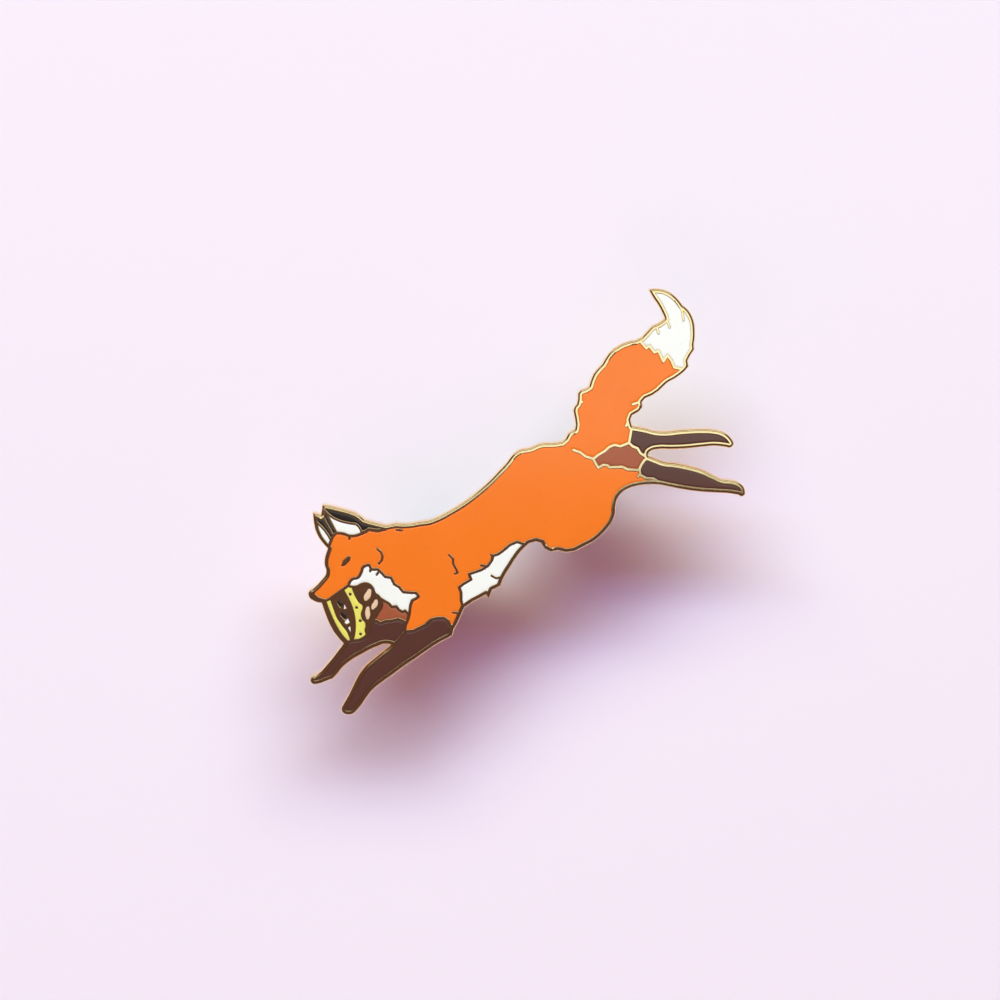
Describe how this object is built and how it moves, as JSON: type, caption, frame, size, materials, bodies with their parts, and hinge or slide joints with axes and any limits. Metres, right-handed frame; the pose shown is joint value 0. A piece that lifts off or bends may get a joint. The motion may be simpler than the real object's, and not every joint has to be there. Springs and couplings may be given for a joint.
{
  "type": "enamel fox brooch",
  "caption": "Flat enamel brooch in the shape of a leaping fox with a patterned egg in its mouth: a plated metal plate with raised lines, coloured inlays, posts and rubber clutches.",
  "frame": {"origin": "under the middle of the brooch's outline, on the surface that it rests on", "axes": "+Z out of the enamelled face, away from the surface; +X to the right and +Y up in the picture that the face shows, so the fox leaps towards -X and -Y"},
  "size_m": [0.0436, 0.0426, 0.0099],
  "materials": {
    "gold_plate": "struck zinc alloy with polished gold plating",
    "enamel_orange": "hard enamel, ground flush and polished",
    "enamel_white": "hard enamel, ground flush and polished",
    "enamel_dark_brown": "hard enamel, ground flush and polished",
    "enamel_rust": "hard enamel, ground flush and polished",
    "enamel_black": "hard enamel, ground flush and polished",
    "enamel_yellow": "hard enamel, ground flush and polished",
    "enamel_peach": "hard enamel, ground flush and polished",
    "clutch_rubber": "moulded matt rubber"
  },
  "bodies": {
    "root": {"metal_body": "gold_plate", "enamel_body": "enamel_orange", "enamel_tail_tip": "enamel_white", "enamel_ruff": "enamel_white", "enamel_belly": "enamel_white", "enamel_near_foreleg": "enamel_dark_brown", "enamel_far_foreleg": "enamel_dark_brown", "enamel_near_hind_leg": "enamel_dark_brown", "enamel_far_hind_leg": "enamel_dark_brown", "enamel_far_shoulder": "enamel_rust", "enamel_far_thigh": "enamel_rust", "enamel_near_ear_inside": "enamel_white", "enamel_near_ear_tip": "enamel_black", "enamel_near_ear_front": "enamel_black", "enamel_far_ear_front": "enamel_black", "enamel_far_ear_inside": "enamel_white", "enamel_egg_crescent": "enamel_yellow", "enamel_egg_band": "enamel_yellow", "enamel_egg_diamond_upper": "enamel_black", "enamel_egg_diamond_lower": "enamel_black", "enamel_egg_chip_upper": "enamel_white", "enamel_egg_chip_middle": "enamel_white", "enamel_egg_chip_lower": "enamel_white", "enamel_egg_petal_upper": "enamel_peach", "enamel_egg_petal_right": "enamel_peach", "enamel_egg_petal_lower": "enamel_peach", "clutch_front": "clutch_rubber", "clutch_rear": "clutch_rubber"}
  },
  "joints": []
}
